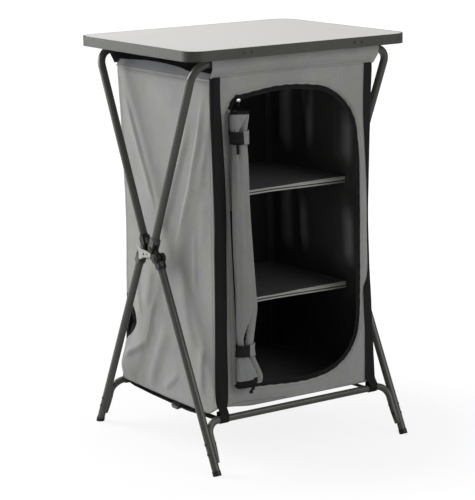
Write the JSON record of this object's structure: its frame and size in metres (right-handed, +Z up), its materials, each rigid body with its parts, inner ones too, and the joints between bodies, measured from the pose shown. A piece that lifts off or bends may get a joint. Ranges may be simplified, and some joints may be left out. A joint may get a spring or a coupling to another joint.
{
  "type": "folding camping kitchen cupboard",
  "caption": "Folding camp kitchen cupboard: a cloth cabinet with shelves and a rolled zip door, hung in crossed tube frames under a clip-on table top.",
  "frame": {"origin": "on the floor at the centre of the footprint", "axes": "+X to the right seen from the front, +Y to the rear, +Z up"},
  "size_m": [0.623, 0.5808, 1],
  "materials": {
    "tube_steel": "satin",
    "rivet_steel": "satin",
    "zip_metal": "polished",
    "top_laminate": "satin",
    "plastic_black": "matte",
    "plastic_pale": "matte",
    "cloth_grey": "matte",
    "cloth_black": "matte",
    "webbing_black": "matte"
  },
  "bodies": {
    "cabinet": {"hub_core_left": "plastic_black", "hub_core_right": "plastic_black", "hub_cover_left": "plastic_pale", "hub_cover_right": "plastic_pale", "hub_rivets": "rivet_steel", "front_panel": "cloth_grey", "door_zip_tape": "webbing_black", "back_panel": "cloth_grey", "side_panel_left": "cloth_grey", "side_panel_right": "cloth_grey", "cabinet_floor": "cloth_black", "shelf_upper": "cloth_black", "shelf_lower": "cloth_black", "front_skirt": "cloth_grey", "rear_skirt": "cloth_grey", "corner_strap_front_left": "webbing_black", "corner_strap_front_right": "webbing_black", "corner_strap_rear_left": "webbing_black", "corner_strap_rear_right": "webbing_black", "side_strap_left": "webbing_black", "side_strap_right": "webbing_black", "buckle_left": "plastic_pale", "buckle_right": "plastic_pale", "door_roll": "cloth_grey", "door_tie_top": "webbing_black", "door_tie_bottom": "webbing_black"},
    "tabletop": {"tabletop_board": "top_laminate", "tabletop_edge_band": "tube_steel", "clip_front_left": "plastic_black", "clip_front_right": "plastic_black", "clip_rear_left": "plastic_black", "clip_rear_right": "plastic_black", "clip_rivets": "rivet_steel"},
    "zip_slider": {"zip_slider": "zip_metal"},
    "front_upper_frame": {"front_upper_rail": "tube_steel", "front_upper_leg_left": "tube_steel", "front_upper_leg_right": "tube_steel", "front_upper_socket_left": "plastic_black", "front_upper_socket_right": "plastic_black"},
    "front_lower_frame": {"front_lower_crossbar": "tube_steel", "front_lower_rivets": "rivet_steel", "front_lower_leg_left": "tube_steel", "front_lower_leg_right": "tube_steel", "front_lower_socket_left": "plastic_black", "front_lower_socket_right": "plastic_black", "front_lower_foot_left": "plastic_black", "front_lower_foot_right": "plastic_black"},
    "rear_upper_frame": {"rear_upper_rail": "tube_steel", "rear_upper_leg_left": "tube_steel", "rear_upper_leg_right": "tube_steel", "rear_upper_socket_left": "plastic_black", "rear_upper_socket_right": "plastic_black"},
    "rear_lower_frame": {"rear_lower_crossbar": "tube_steel", "rear_lower_rivets": "rivet_steel", "rear_lower_leg_left": "tube_steel", "rear_lower_leg_right": "tube_steel", "rear_lower_socket_left": "plastic_black", "rear_lower_socket_right": "plastic_black", "rear_lower_foot_left": "plastic_black", "rear_lower_foot_right": "plastic_black"}
  },
  "joints": [
    {"name": "frame_fold", "type": "hinge", "parent": "cabinet", "child": "front_lower_frame", "pos_m": [0, -0.039, 0.484], "axis": [-1, 0, 0], "range_deg": [0, 153.4], "deforming": ["front_panel", "door_zip_tape", "back_panel", "side_panel_left", "side_panel_right", "cabinet_floor", "shelf_upper", "shelf_lower", "front_skirt", "rear_skirt", "corner_strap_front_left", "corner_strap_front_right", "corner_strap_rear_left", "corner_strap_rear_right", "side_strap_left", "side_strap_right", "door_roll", "door_tie_top", "door_tie_bottom"]},
    {"name": "rear_lower_fold", "type": "hinge", "parent": "cabinet", "child": "rear_lower_frame", "pos_m": [0, 0.039, 0.484], "axis": [1, 0, 0], "range_deg": [0, 153.5]},
    {"name": "front_upper_fold", "type": "hinge", "parent": "cabinet", "child": "front_upper_frame", "pos_m": [0, -0.016, 0.505], "axis": [-1, 0, 0], "range_deg": [0, 24.3]},
    {"name": "rear_upper_fold", "type": "hinge", "parent": "cabinet", "child": "rear_upper_frame", "pos_m": [0, 0.016, 0.505], "axis": [1, 0, 0], "range_deg": [0, 24.3]},
    {"name": "tabletop_lift", "type": "slide", "parent": "cabinet", "child": "tabletop", "axis": [0, 0, 1], "range_m": [0, 0.301]},
    {"name": "zip_slide", "type": "slide", "parent": "front_upper_frame", "child": "zip_slider", "axis": [1, 0, 0], "range_m": [0, 0.2]}
  ],
  "couplings": [
    {"joint": "rear_lower_fold", "follows": "frame_fold", "ratio": 1},
    {"joint": "front_upper_fold", "follows": "frame_fold", "ratio": 0.15776},
    {"joint": "rear_upper_fold", "follows": "frame_fold", "ratio": 0.15776},
    {"joint": "tabletop_lift", "follows": "frame_fold", "m_per_rad": 0.11205}
  ]
}
